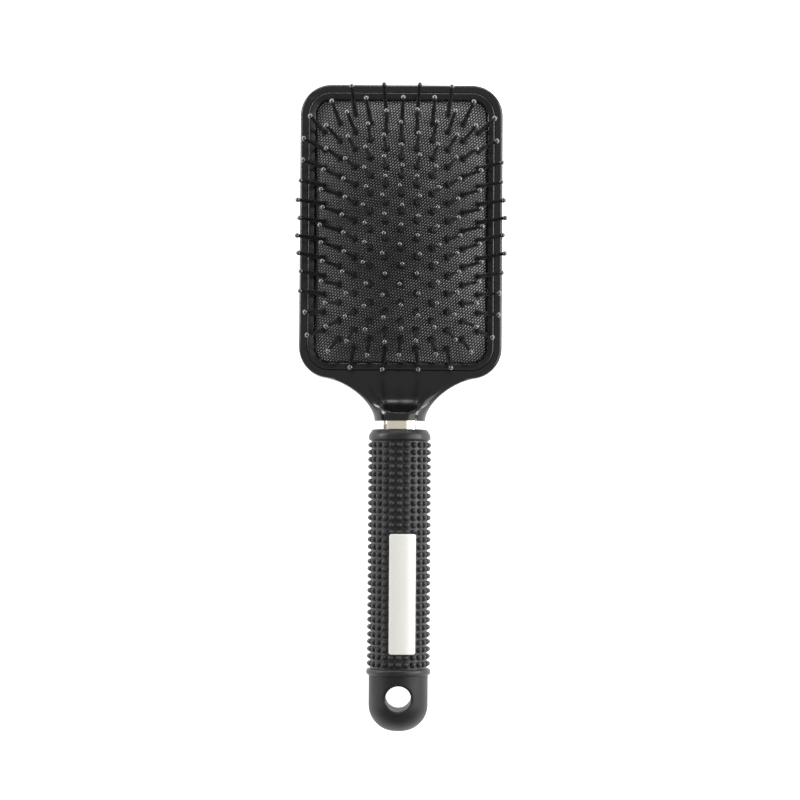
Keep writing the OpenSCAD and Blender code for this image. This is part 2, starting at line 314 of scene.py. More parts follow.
def point_outward(mesh: bpy.types.Mesh) -> None:
    """Turns every face of a closed mesh outward."""
    sheet = bmesh.new()
    sheet.from_mesh(mesh)
    bmesh.ops.recalc_face_normals(sheet, faces=sheet.faces)
    sheet.to_mesh(mesh)
    sheet.free()


def turned(profile: np.ndarray, sides: int) -> np.ndarray:
    """Turns a profile round the +Z axis.

    Args:
        profile: Points as (radius, height), one row each.
        sides: Number of sides of the turned shape.

    Returns:
        A grid of points, one row for each profile point and one column for each side.
    """
    angles = np.linspace(0.0, 2.0 * math.pi, sides, endpoint=False)
    radius = profile[:, 0][:, None]
    height = np.repeat(profile[:, 1][:, None], sides, axis=1)
    return np.stack([radius * np.cos(angles), radius * np.sin(angles), height], axis=-1)


def placed(points: np.ndarray, matrix: Matrix) -> np.ndarray:
    """Moves a grid of points by a matrix."""
    m = np.array(matrix)
    return points @ m[:3, :3].T + m[:3, 3]


# ---------------------------------------------------------------- places shared by the pieces


@dataclass(frozen=True)
class Layout:
    """Places along the brush that its sub-assemblies share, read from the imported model."""

    head: Outline
    rim_z: float
    axis_z: float
    neck_end_y: float
    grip_top_y: float
    grip_end_y: float
    cap_end_y: float
    frame_outer: Outline
    frame_top_z: float
    pad_edge_z: float
    crown_z: float

    @classmethod
    def from_model(cls) -> "Layout":
        """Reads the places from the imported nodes' boxes."""
        head_low, head_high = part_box("paddle_body")
        grip_low, grip_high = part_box("grip_sleeve")
        cap_low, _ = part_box("end_cap")
        _, ferrule_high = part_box("ferrule")
        _, ring_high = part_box("retaining_frame")
        _, pad_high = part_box("cushion_pad")
        ferrule_tuck = 1.45 * MM
        crown_height = 7.0 * MM
        return cls(
            head=Outline(head_high[0], head_high[1], 12.0 * MM),
            rim_z=14.0 * MM,
            axis_z=(grip_low[2] + grip_high[2]) / 2.0,
            neck_end_y=ferrule_high[1] - ferrule_tuck,
            grip_top_y=grip_high[1],
            grip_end_y=grip_low[1],
            cap_end_y=cap_low[1],
            frame_outer=Outline(ring_high[0], ring_high[1], 8.8 * MM),
            frame_top_z=ring_high[2],
            pad_edge_z=pad_high[2] - crown_height,
            crown_z=pad_high[2],
        )

    def handle_matrix(self, from_y: float) -> Matrix:
        """Gives the matrix that lays a shape turned round +Z along the handle, running down from a place."""
        return Matrix.Translation((0.0, from_y, self.axis_z)) @ Matrix.Rotation(math.radians(90.0), 4, "X")


# ---------------------------------------------------------------- finishes


class NodeSheet:
    """A material's node tree, with short calls to add and join its nodes."""

    def __init__(self, name: str) -> None:
        """Makes a material with only its shader and its output."""
        self.material = bpy.data.materials.new(name)
        self.material.use_nodes = True
        self.tree = self.material.node_tree
        self.shader = self.tree.nodes["Principled BSDF"]

    def add(self, kind: str, **settings: object) -> bpy.types.Node:
        """Adds a node.

        Args:
            kind: The node's type, such as "ShaderNodeTexNoise".
            **settings: Attributes of the node, or inputs where the name has no such attribute.

        Returns:
            The new node.
        """
        node = self.tree.nodes.new(kind)
        for key, value in settings.items():
            if hasattr(node, key):
                setattr(node, key, value)
            else:
                node.inputs[key.replace("_", " ")].default_value = value
        return node

    def join(self, source: bpy.types.NodeSocket, target: bpy.types.NodeSocket) -> None:
        """Links an output to an input."""
        self.tree.links.new(source, target)

    def where(self, scale: tuple[float, float, float] = (1.0, 1.0, 1.0)) -> bpy.types.NodeSocket:
        """Gives the object's own coordinates, stretched by a scale for each axis."""
        spot = self.add("ShaderNodeTexCoord")
        mapping = self.add("ShaderNodeMapping")
        mapping.inputs["Scale"].default_value = scale
        self.join(spot.outputs["Object"], mapping.inputs["Vector"])
        return mapping.outputs["Vector"]

    def noise(self, at: bpy.types.NodeSocket, scale: float, detail: float = 3.0) -> bpy.types.NodeSocket:
        """Gives a noise value at a place, with the scale in cycles a metre."""
        node = self.add("ShaderNodeTexNoise", Scale=scale, Detail=detail)
        self.join(at, node.inputs["Vector"])
        return node.outputs["Fac"]

    def ranged(
        self, value: bpy.types.NodeSocket, low: float, high: float, to_low: float, to_high: float
    ) -> bpy.types.NodeSocket:
        """Maps a value from one range to another, held at the ends."""
        node = self.add("ShaderNodeMapRange")
        for key, number in zip(("From Min", "From Max", "To Min", "To Max"), (low, high, to_low, to_high)):
            node.inputs[key].default_value = number
        self.join(value, node.inputs["Value"])
        return node.outputs["Result"]

    def maths(
        self, operation: str, a: bpy.types.NodeSocket | float, b: bpy.types.NodeSocket | float = 0.0
    ) -> bpy.types.NodeSocket:
        """Gives the result of a mathematical operation on one or two values."""
        node = self.add("ShaderNodeMath", operation=operation)
        for socket, value in zip(node.inputs, (a, b)):
            if isinstance(value, (int, float)):
                socket.default_value = value
            else:
                self.join(value, socket)
        return node.outputs[0]

    def mixed(
        self,
        share: bpy.types.NodeSocket,
        low: tuple[float, float, float],
        high: tuple[float, float, float],
    ) -> bpy.types.NodeSocket:
        """Gives a colour between two, by a share that varies over the surface."""
        node = self.add("ShaderNodeMix", data_type="RGBA")
        node.inputs[6].default_value = (*low, 1.0)
        node.inputs[7].default_value = (*high, 1.0)
        self.join(share, node.inputs[0])
        return node.outputs[2]

    def bump(
        self, height: bpy.types.NodeSocket, distance: float, strength: float = 1.0,
        under: bpy.types.NodeSocket | None = None,
    ) -> bpy.types.NodeSocket:
        """Gives the normal that a height makes, on top of another bump if one is given."""
        node = self.add("ShaderNodeBump", Distance=distance, Strength=strength)
        self.join(height, node.inputs["Height"])
        if under is not None:
            self.join(under, node.inputs["Normal"])
        return node.outputs["Normal"]

    def edges(self) -> bpy.types.NodeSocket:
        """Gives how far a place lies on an outward edge or high spot, from 0 to 1: where the plastics wear
        and where the grip is painted lighter.
        """
        shape = self.add("ShaderNodeNewGeometry")
        return self.ranged(shape.outputs["Pointiness"], 0.52, 0.62, 0.0, 1.0)

    def set(self, **numbers: object) -> None:
        """Sets inputs of the shader, named with _ for each space."""
        for key, value in numbers.items():
            self.shader.inputs[key.replace("_", " ")].default_value = value

    def drive(self, **sockets: bpy.types.NodeSocket) -> None:
        """Links values to inputs of the shader, named with _ for each space."""
        for key, socket in sockets.items():
            self.join(socket, self.shader.inputs[key.replace("_", " ")])


@dataclass(frozen=True)
class GlossPlastic:
    """Polished black moulding plastic with faint haze, hair scratches and worn edges."""

    name: str = "polished_black_plastic"
    colour: tuple[float, float, float] = (0.0045, 0.0045, 0.0052)
    worn: tuple[float, float, float] = (0.018, 0.018, 0.02)
    gloss: float = 0.14
    haze: float = 0.1

    def build(self) -> bpy.types.Material:
        """Makes the material."""
        sheet = NodeSheet(self.name)
        at = sheet.where()
        streaks = sheet.where((1.0, 0.08, 1.0))
        haze = sheet.noise(at, 55.0, 5.0)
        hairs = sheet.noise(streaks, 2600.0, 2.0)
        patches = sheet.ranged(sheet.noise(at, 420.0), 0.35, 0.7, 0.0, 1.0)
        worn = sheet.maths("MULTIPLY", sheet.edges(), patches)
        polish = sheet.ranged(haze, 0.3, 0.75, self.gloss, self.gloss + self.haze)
        rough = sheet.maths("ADD", polish, sheet.maths("MULTIPLY", worn, 0.12))
        ripple = sheet.bump(sheet.noise(at, 130.0, 2.0), 0.00005, 0.35)
        sheet.set(Specular_IOR_Level=0.45)
        sheet.drive(
            Base_Color=sheet.mixed(worn, self.colour, self.worn),
            Roughness=rough,
            Normal=sheet.bump(hairs, 0.000004, 0.5, ripple),
        )
        return sheet.material


@dataclass(frozen=True)
class SatinPlastic:
    """Charcoal plastic with the fine eroded grain of a spark-finished mould."""

    name: str = "satin_charcoal_plastic"
    colour: tuple[float, float, float] = (0.012, 0.012, 0.013)
    worn: tuple[float, float, float] = (0.035, 0.035, 0.037)
    roughness: float = 0.36
    grain: float = 2300.0
    shine: float = 0.45

    def build(self) -> bpy.types.Material:
        """Makes the material."""
        sheet = NodeSheet(self.name)
        at = sheet.where()
        grain = sheet.noise(at, self.grain, 3.0)
        cloud = sheet.noise(at, 140.0, 4.0)
        worn = sheet.maths("MULTIPLY", sheet.edges(), sheet.ranged(cloud, 0.3, 0.7, 0.2, 1.0))
        shade = sheet.maths("ADD", worn, sheet.ranged(grain, 0.35, 0.65, 0.0, 0.25))
        sheet.set(Specular_IOR_Level=self.shine)
        sheet.drive(
            Base_Color=sheet.mixed(shade, self.colour, self.worn),
            Roughness=sheet.ranged(cloud, 0.3, 0.7, self.roughness - 0.05, self.roughness + 0.08),
            Normal=sheet.bump(grain, 0.00003, 0.45),
        )
        return sheet.material


@dataclass(frozen=True)
class SoftRubber:
    """Matt moulded rubber, lighter on its high spots as a dry bloom and as painted highlight, and darker in
    its low ones as painted shade.
    """

    name: str = "matt_grip_rubber"
    colour: tuple[float, float, float] = (0.005, 0.005, 0.006)
    bloom_and_highlight: tuple[float, float, float] = (0.03, 0.03, 0.032)
    roughness: float = 0.36

    def build(self) -> bpy.types.Material:
        """Makes the material."""
        sheet = NodeSheet(self.name)
        at = sheet.where()
        grain = sheet.noise(at, 3200.0, 2.0)
        cloud = sheet.noise(at, 240.0, 4.0)
        # Stud tops and edges are painted lighter, partly bloom and partly painted highlight; the valleys keep
        # the dark colour as painted shade.
        bloom_and_highlight = sheet.maths("MULTIPLY", sheet.edges(), sheet.ranged(cloud, 0.3, 0.7, 0.35, 1.0))
        shade = sheet.maths("ADD", bloom_and_highlight, sheet.ranged(cloud, 0.4, 0.75, 0.0, 0.3))
        sheet.set(Specular_IOR_Level=0.42, Sheen_Weight=0.03, Sheen_Roughness=0.5)
        sheet.drive(
            Base_Color=sheet.mixed(shade, self.colour, self.bloom_and_highlight),
            Roughness=sheet.ranged(grain, 0.3, 0.7, self.roughness - 0.08, self.roughness + 0.12),
            Normal=sheet.bump(grain, 0.00003, 0.5),
        )
        return sheet.material


@dataclass(frozen=True)
class TwillRubber:
    """Rubber backed with fine twill, whose short threads lie in slanting rows, darkened in broad patches as
    painted shadow of the pins.
    """

    name: str = "twill_cushion_rubber"
    colour: tuple[float, float, float] = (0.006, 0.006, 0.007)
    thread: tuple[float, float, float] = (0.5, 0.5, 0.52)
    row_pitch: float = 0.88 * MM
    thread_pitch: float = 1.3 * MM
    row_turn: float = 44.0

    def build(self) -> bpy.types.Material:
        """Makes the material."""
        sheet = NodeSheet(self.name)
        turn = math.radians(self.row_turn)
        spot = sheet.add("ShaderNodeTexCoord").outputs["Object"]
        along = self.slanted(sheet, spot, (math.cos(turn), math.sin(turn), 0.0))
        across = self.slanted(sheet, spot, (-math.sin(turn), math.cos(turn), 0.0))
        wobble = sheet.ranged(sheet.noise(spot, 900.0, 2.0), 0.0, 1.0, -0.12, 0.12)
        row = sheet.maths("ADD", sheet.maths("MULTIPLY", across, 1.0 / self.row_pitch), wobble)
        shift = sheet.maths("MULTIPLY", sheet.maths("FLOOR", row), 0.5)
        step = sheet.maths("ADD", sheet.maths("MULTIPLY", along, 1.0 / self.thread_pitch), shift)
        hump_row = self.hump(sheet, row, 0.0)
        hump_step = self.hump(sheet, sheet.maths("ADD", step, wobble), -0.8)
        weave = sheet.maths("MULTIPLY", hump_row, hump_step)
        fluff = sheet.ranged(sheet.noise(spot, 2400.0, 3.0), 0.3, 0.7, 0.7, 1.0)
        # Broad noise darkens the threads in patches: painted shadow of the pins, not wear.
        worn = sheet.ranged(sheet.noise(spot, 34.0, 3.0), 0.35, 0.65, 0.3, 1.0)
        light = sheet.maths("MULTIPLY", sheet.maths("MULTIPLY", weave, fluff), worn)
        sheet.set(Specular_IOR_Level=0.4, Sheen_Weight=0.15, Sheen_Roughness=0.4)
        sheet.drive(
            Base_Color=sheet.mixed(light, self.colour, self.thread),
            Roughness=sheet.ranged(weave, 0.0, 1.0, 0.72, 0.45),
            Normal=sheet.bump(weave, 0.00022, 0.85),
        )
        return sheet.material

    @staticmethod
    def slanted(
        sheet: NodeSheet, spot: bpy.types.NodeSocket, direction: tuple[float, float, float]
    ) -> bpy.types.NodeSocket:
        """Gives a place's distance along a direction."""
        node = sheet.add("ShaderNodeVectorMath", operation="DOT_PRODUCT")
        sheet.join(spot, node.inputs[0])
        node.inputs[1].default_value = direction
        return node.outputs["Value"]

    @staticmethod
    def hump(sheet: NodeSheet, phase: bpy.types.NodeSocket, foot: float) -> bpy.types.NodeSocket:
        """Gives a hump from 0 to 1 and back for each whole step of a phase.

        Args:
            sheet: The material's nodes.
            phase: The phase, in whole steps.
            foot: Where on the wave, from -1 to 1, the hump starts; a lower foot makes a longer hump.

        Returns:
            The hump's height.
        """
        wave = sheet.maths("SINE", sheet.maths("MULTIPLY", phase, 2.0 * math.pi))
        return sheet.ranged(wave, foot, foot + 0.9, 0.0, 1.0)


@dataclass(frozen=True)
class PinNylon:
    """Black nylon of the pins, its tone and gloss varying in soft clouds."""

    name: str = "black_pin_nylon"
    colour: tuple[float, float, float] = (0.0035, 0.0035, 0.004)
    rubbed: tuple[float, float, float] = (0.007, 0.007, 0.008)
    gloss: float = 0.05

    def build(self) -> bpy.types.Material:
        """Makes the material."""
        sheet = NodeSheet(self.name)
        at = sheet.where()
        cloud = sheet.noise(at, 380.0, 3.0)
        fine = sheet.noise(at, 4200.0, 2.0)
        sheet.set(Specular_IOR_Level=1.0, Coat_Weight=0.6, Coat_Roughness=0.05)
        sheet.drive(
            Base_Color=sheet.mixed(sheet.ranged(cloud, 0.35, 0.7, 0.0, 1.0), self.colour, self.rubbed),
            Roughness=sheet.ranged(cloud, 0.3, 0.7, self.gloss, self.gloss + 0.07),
            Normal=sheet.bump(fine, 0.000006, 0.5),
        )
        return sheet.material


@dataclass(frozen=True)
class Chrome:
    """Bright plated metal with a faint warm tone, fine polish lines and dulled edges."""

    name: str = "bright_chrome"
    colour: tuple[float, float, float] = (0.95, 0.89, 0.76)
    dulled: tuple[float, float, float] = (0.80, 0.73, 0.60)

    def build(self) -> bpy.types.Material:
        """Makes the material."""
        sheet = NodeSheet(self.name)
        lines = sheet.noise(sheet.where((0.15, 1.0, 0.15)), 5200.0, 2.0)
        cloud = sheet.noise(sheet.where(), 260.0, 4.0)
        dull = sheet.maths("MAXIMUM", sheet.edges(), sheet.ranged(cloud, 0.55, 0.8, 0.0, 0.6))
        sheet.set(Metallic=1.0)
        sheet.drive(
            Base_Color=sheet.mixed(dull, self.colour, self.dulled),
            Roughness=sheet.ranged(cloud, 0.3, 0.7, 0.06, 0.16),
            Normal=sheet.bump(lines, 0.000004, 0.4),
        )
        return sheet.material


@dataclass(frozen=True)
class PlateLacquer:
    """Pale silver lacquer of the blank plate, with flake, soft smudges and rubbed edges."""

    name: str = "pale_plate_lacquer"
    colour: tuple[float, float, float] = (0.66, 0.65, 0.62)
    flake: tuple[float, float, float] = (0.76, 0.75, 0.72)
    smudge: float = 0.1

    def build(self) -> bpy.types.Material:
        """Makes the material."""
        sheet = NodeSheet(self.name)
        at = sheet.where()
        flakes = sheet.ranged(sheet.noise(at, 5200.0, 2.0), 0.45, 0.7, 0.0, 1.0)
        smudges = sheet.noise(at, 160.0, 5.0)
        sheet.set(Metallic=0.15, Specular_IOR_Level=0.45)
        sheet.drive(
            Base_Color=sheet.mixed(flakes, self.colour, self.flake),
            Roughness=sheet.ranged(smudges, 0.3, 0.7, 0.36, 0.36 + self.smudge),
            Normal=sheet.bump(sheet.noise(at, 1500.0, 2.0), 0.00001, 0.4),
        )
        return sheet.material


@dataclass(frozen=True)
class StudioPaper:
    """Seamless paper with a slight tooth: pale for the floor, and black for the card."""

    name: str = "pale_paper"
    colour: tuple[float, float, float] = (0.92, 0.92, 0.92)
    glow: float = 0.8

    def build(self) -> bpy.types.Material:
        """Makes the material."""
        sheet = NodeSheet(self.name)
        tooth = sheet.noise(sheet.where(), 900.0, 2.0)
        sheet.set(
            Base_Color=(*self.colour, 1.0), Specular_IOR_Level=0.2, Roughness=0.9,
            Emission_Color=(1.0, 1.0, 1.0, 1.0), Emission_Strength=self.glow,
        )
        sheet.drive(Normal=sheet.bump(tooth, 0.00003, 0.2))
        return sheet.material


class Finish(Enum):
    """The finishes that the brush and its stage are dressed in."""

    GLOSS = GlossPlastic()
    FRAME_GLOSS = GlossPlastic(name="polished_frame_plastic", gloss=0.2)
    CUSHION = TwillRubber()
    BOSS = SatinPlastic(
        name="smooth_cushion_rubber", colour=(0.008, 0.008, 0.009), worn=(0.02, 0.02, 0.022), roughness=0.45
    )
    PIN = PinNylon()
    CHROME = Chrome()
    CORE = SatinPlastic(name="plain_core_plastic", grain=1500.0)
    GRIP = SoftRubber()
    PLATE = PlateLacquer()
    CAP = SatinPlastic(
        colour=(0.006, 0.006, 0.0068), worn=(0.02, 0.02, 0.022), roughness=0.42, shine=0.3
    )
    FLOOR = StudioPaper()
    FLAG = StudioPaper(name="dark_card", colour=(0.01, 0.01, 0.01), glow=0.0)

    def material(self) -> bpy.types.Material:
        """Gives this finish's material, made the first time it is asked for."""
        return bpy.data.materials.get(self.value.name) or self.value.build()


def dress(piece: bpy.types.Object, finish: Finish, body: str, slot: str, *nodes: str) -> bpy.types.Object:
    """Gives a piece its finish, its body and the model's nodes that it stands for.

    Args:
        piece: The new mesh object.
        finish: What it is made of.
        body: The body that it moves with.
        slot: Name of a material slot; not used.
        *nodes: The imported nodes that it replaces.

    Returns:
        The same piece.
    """
    piece.data.materials.append(finish.material())
    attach(piece, body)
    if nodes:
        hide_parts(*nodes)
    LOG.info("%s: %d faces, %s", piece.name, len(piece.data.polygons), finish.value.name)
    return piece


# ---------------------------------------------------------------- head


@dataclass(frozen=True)
class Head:
    """The glossy head: back, rim, seat for the cushion, and the scooped neck with its spigots."""

    layout: Layout
    rim_width: float = 3.15 * MM
    rim_radius: float = 1.2 * MM
    back_radius: float = 5.0 * MM
    seat_radius: float = 0.25 * MM
    gutter_width: float = 1.65 * MM
    gutter_z: float = 4.6 * MM
    ledge_z: float = 10.6 * MM
    ledge_width: float = 2.2 * MM
    floor_z: float = 2.6 * MM
    neck_radius: float = 9.85 * MM
    scoop_radius: float = 15.0 * MM
    crease: float = 0.7 * MM
    spigot_radius: float = 7.85 * MM
    spigot_length: float = 5.0 * MM
    flare_angle: float = -82.0
    flare_pull: float = 9.0 * MM
    waist_half: float = 9.96 * MM
    waist_drop: float = 9.66 * MM
    lip_height: float = 0.45 * MM
    lip_run: float = 3.0 * MM
    barrel_blend: float = 3.0 * MM
    back_inset: float = 9.0 * MM
    plug_radius: float = 6.45 * MM
    plug_end: float = 27.0 * MM
    overlap: float = 0.02 * MM
    front_rows: int = 46
    back_rows: int = 34
    flare_steps: int = 46
    end_steps: int = 40
    neck_seat_half: float = 8.0 * MM

    @property
    def root_y(self) -> float:
        """The head's bottom edge, where the neck starts."""
        return -self.layout.head.half_length

    @property
    def neck_length(self) -> float:
        """The neck's length along the handle."""
        return self.root_y - self.layout.neck_end_y

    def flare(self) -> np.ndarray:
        """Gives the neck's right-hand silhouette, from the corner's arc down to the round end."""
        start = self.layout.head.arc(0, self.flare_angle, 0)[0]
        turn = math.radians(self.flare_angle)
        heading = np.array([math.sin(turn), -math.cos(turn)])
        controls = [
            start,
            start + heading * self.flare_pull,
            (self.waist_half, self.root_y - self.waist_drop),
            (self.neck_radius, self.layout.neck_end_y),
        ]
        return bezier(controls, self.flare_steps)

    def silhouette(self) -> tuple[np.ndarray, np.ndarray]:
        """Gives the outer loop in plan, and the part of it that has sides to round."""
        right = self.flare()[::-1]
        left = self.flare() * [-1.0, 1.0]
        shell = self.layout.head.open_points(self.flare_angle, 180.0 - self.flare_angle)
        rounded = np.vstack([right, shell[1:-1], left])
        end = between(left[-1], right[0], self.end_steps)[1:-1]
        return np.vstack([rounded, end]), rounded

    def seat_loop(self, by: float) -> np.ndarray:
        """Gives the loop at a distance inside the rim that matches the outer loop point by point.

        Args:
            by: Distance inside the head's outline.

        Returns:
            The loop's points, one for each point of the outer loop.
        """
        shell = self.layout.head.inset(by).open_points()
        right_end, left_end = shell[0], shell[-1]
        start = np.array([self.neck_seat_half, right_end[1]])
        right = between(start, right_end, self.flare_steps)
        left = between(left_end, start * [-1.0, 1.0], self.flare_steps)
        end = between(left[-1], right[0], self.end_steps)[1:-1]
        return np.vstack([right, shell[1:-1], left, end])

    def progress(self, y: np.ndarray) -> np.ndarray:
        """Gives how far down the neck a place lies, from 0 at the head to 1 at the round end."""
        return np.clip((self.root_y - y) / self.neck_length, 0.0, 1.0)

    def front_z(self, plan: np.ndarray, depth: np.ndarray) -> np.ndarray:
        """Gives the height of the front surface.

        Args:
            plan: Places in plan, one row each.
            depth: Distance of each place from the silhouette.

        Returns:
            One height for each place.
        """
        down = self.progress(plan[:, 1])
        run = down * self.neck_length
        rim = self.layout.rim_z
        wall_top = rim - self.rim_radius
        reach = np.sqrt(np.maximum(self.scoop_radius**2 - np.minimum(run, self.scoop_radius) ** 2, 0.0))
        scoop = rim + self.scoop_radius - reach
        lip = self.lip_height * eased(run / self.lip_run)
        round_top = self.layout.axis_z + self.neck_radius
        top = soft_min(np.full_like(run, round_top), scoop + lip, self.barrel_blend * eased(down))
        top = np.where(down >= 1.0, round_top, top)
        base = wall_top + (self.layout.axis_z - wall_top) * down
        radius = self.rim_radius + (self.neck_radius - self.rim_radius) * down**0.5
        share = np.minimum(depth / radius, 1.0)
        barrel = base + (top - base) * np.sqrt(1.0 - (1.0 - share) ** 2)
        return soft_min(barrel, scoop, self.crease * eased(4.0 * down))

    def back_z(self, plan: np.ndarray, depth: np.ndarray) -> np.ndarray:
        """Gives the height of the back surface, as front_z does for the front."""
        down = self.progress(plan[:, 1])
        share = eased(down)
        base = self.back_radius + (self.layout.axis_z - self.back_radius) * share
        drop = self.back_radius + (self.neck_radius - self.back_radius) * share
        radius = self.back_radius + (self.neck_radius - self.back_radius) * down
        return base - drop * np.sqrt(1.0 - (1.0 - np.minimum(depth / radius, 1.0)) ** 2)

    def sheet(
        self, outer: np.ndarray, inner: np.ndarray, rounded: np.ndarray, rows: int,
        height: Callable[[np.ndarray, np.ndarray], np.ndarray],
    ) -> np.ndarray:
        """Gives the rows of a surface between the silhouette and an inner loop.

        Args:
            outer: The silhouette's points in plan.
            inner: The inner loop's points in plan.
            rounded: The part of the silhouette that distances are measured from.
            rows: Number of rows.
            height: The surface's height, from places in plan and their depths.

        Returns:
            Rows of points, from the silhouette inwards.
        """
        share = (np.arange(rows + 1) / rows)[:, None, None] ** 2
        plan = outer + share * (inner - outer)
        flat = plan.reshape(-1, 2)
        z = height(flat, distance_to_line(flat, rounded))
        return np.column_stack([flat, z]).reshape(rows + 1, len(outer), 3)

    def inner_rows(self) -> list[np.ndarray]:
        """Gives the loops of the seat, the gutter, the ledge and the chamber, from the rim inwards."""
        seat = self.rim_width
        ledge = seat + self.gutter_width
        chamber = ledge + self.ledge_width
        rim = self.layout.rim_z
        steps = [
            (seat, rim - self.seat_radius), (seat, self.gutter_z), (ledge, self.gutter_z),
            (ledge, self.ledge_z), (chamber, self.ledge_z), (chamber, self.floor_z),
        ]
        return [with_height(self.seat_loop(inset), z) for inset, z in steps]

    def build(self) -> bpy.types.Object:
        """Builds the head, and its spigot as a separate piece."""
        sketch = Sketch("head_shell")
        outer, rounded = self.silhouette()
        lip = self.seat_loop(self.rim_width - self.seat_radius)
        front = self.sheet(outer, lip, rounded, self.front_rows, self.front_z)
        back = self.sheet(outer, self.seat_loop(self.back_inset), rounded, self.back_rows, self.back_z)
        part_turned = 0.3 * self.seat_radius
        mid_lip = with_height(self.seat_loop(self.rim_width - part_turned), self.layout.rim_z - part_turned)
        rows = list(back[::-1]) + list(front) + [mid_lip] + self.inner_rows()
        numbers = sketch.add_grid(np.array(rows), around=True)
        sketch.add_cap(numbers[0])
        sketch.add_cap(numbers[-1], flip=True)
        head = sketch.build(sharp=50.0)
        self.build_spigot()
        return dress(head, Finish.GLOSS, "root", "gloss_head", "paddle_body")

    def build_spigot(self) -> bpy.types.Object:
        """Builds the stepped spigot that carries the ferrule and plugs into the core."""
        profile = filleted(
            [
                (0, 0, 0), (self.spigot_radius, 0, 0), (self.spigot_radius, self.spigot_length, 0.3 * MM),
                (self.plug_radius, self.spigot_length, 0), (self.plug_radius, self.plug_end, 0.8 * MM),
                (0, self.plug_end, 0),
            ],
            closed=False,
        )[1:-1]
        below = self.layout.handle_matrix(self.layout.neck_end_y + self.overlap)
        sketch = Sketch("head_spigot")
        ring = sketch.add_grid(placed(turned(profile, 72), below), around=True)
        sketch.add_cap(ring[0])
        sketch.add_cap(ring[-1], flip=True)
        return dress(sketch.build(), Finish.GLOSS, "root", "gloss_head")


def with_height(plan: np.ndarray, z: float) -> np.ndarray:
    """Gives plan points a height."""
    return np.column_stack([plan, np.full(len(plan), z)])


@dataclass(frozen=True)
class RetainingFrame:
    """The glossy frame round the cushion, with its sloping face and hidden skirt."""

    layout: Layout
    face_width: float = 2.8 * MM
    face_fall: float = 0.8 * MM
    skirt_thickness: float = 1.5 * MM
    skirt_end_z: float = 5.6 * MM
    underside_z: float = 11.8 * MM

    def profile(self) -> np.ndarray:
        """Gives the frame's closed cross-section as (distance inside its outer edge, height)."""
        top = self.layout.frame_top_z
        inner = top - self.face_fall
        return filleted(
            [
                (0.0, self.skirt_end_z, 0.2 * MM), (0.0, top - 0.1 * MM, 0.55 * MM),
                (0.75 * MM, top, 0.5 * MM), (self.face_width - 0.5 * MM, inner + 0.25 * MM, 0.6 * MM),
                (self.face_width, inner - 0.15 * MM, 0.3 * MM), (self.face_width, self.underside_z, 0.1 * MM),
                (self.skirt_thickness, self.underside_z, 0.0),
                (self.skirt_thickness, self.skirt_end_z, 0.2 * MM),
            ],
            closed=True, steps=6,
        )

    def build(self) -> bpy.types.Object:
        """Builds the frame."""
        sketch = Sketch("cushion_frame")
        rows = [with_height(self.layout.frame_outer.inset(d).loop(), z) for d, z in self.profile()]
        sketch.add_grid(np.array(rows), around=True, along=True)
        return dress(sketch.build(sharp=60.0), Finish.FRAME_GLOSS, "root", "gloss_frame", "retaining_frame")


# ---------------------------------------------------------------- cushion and pins


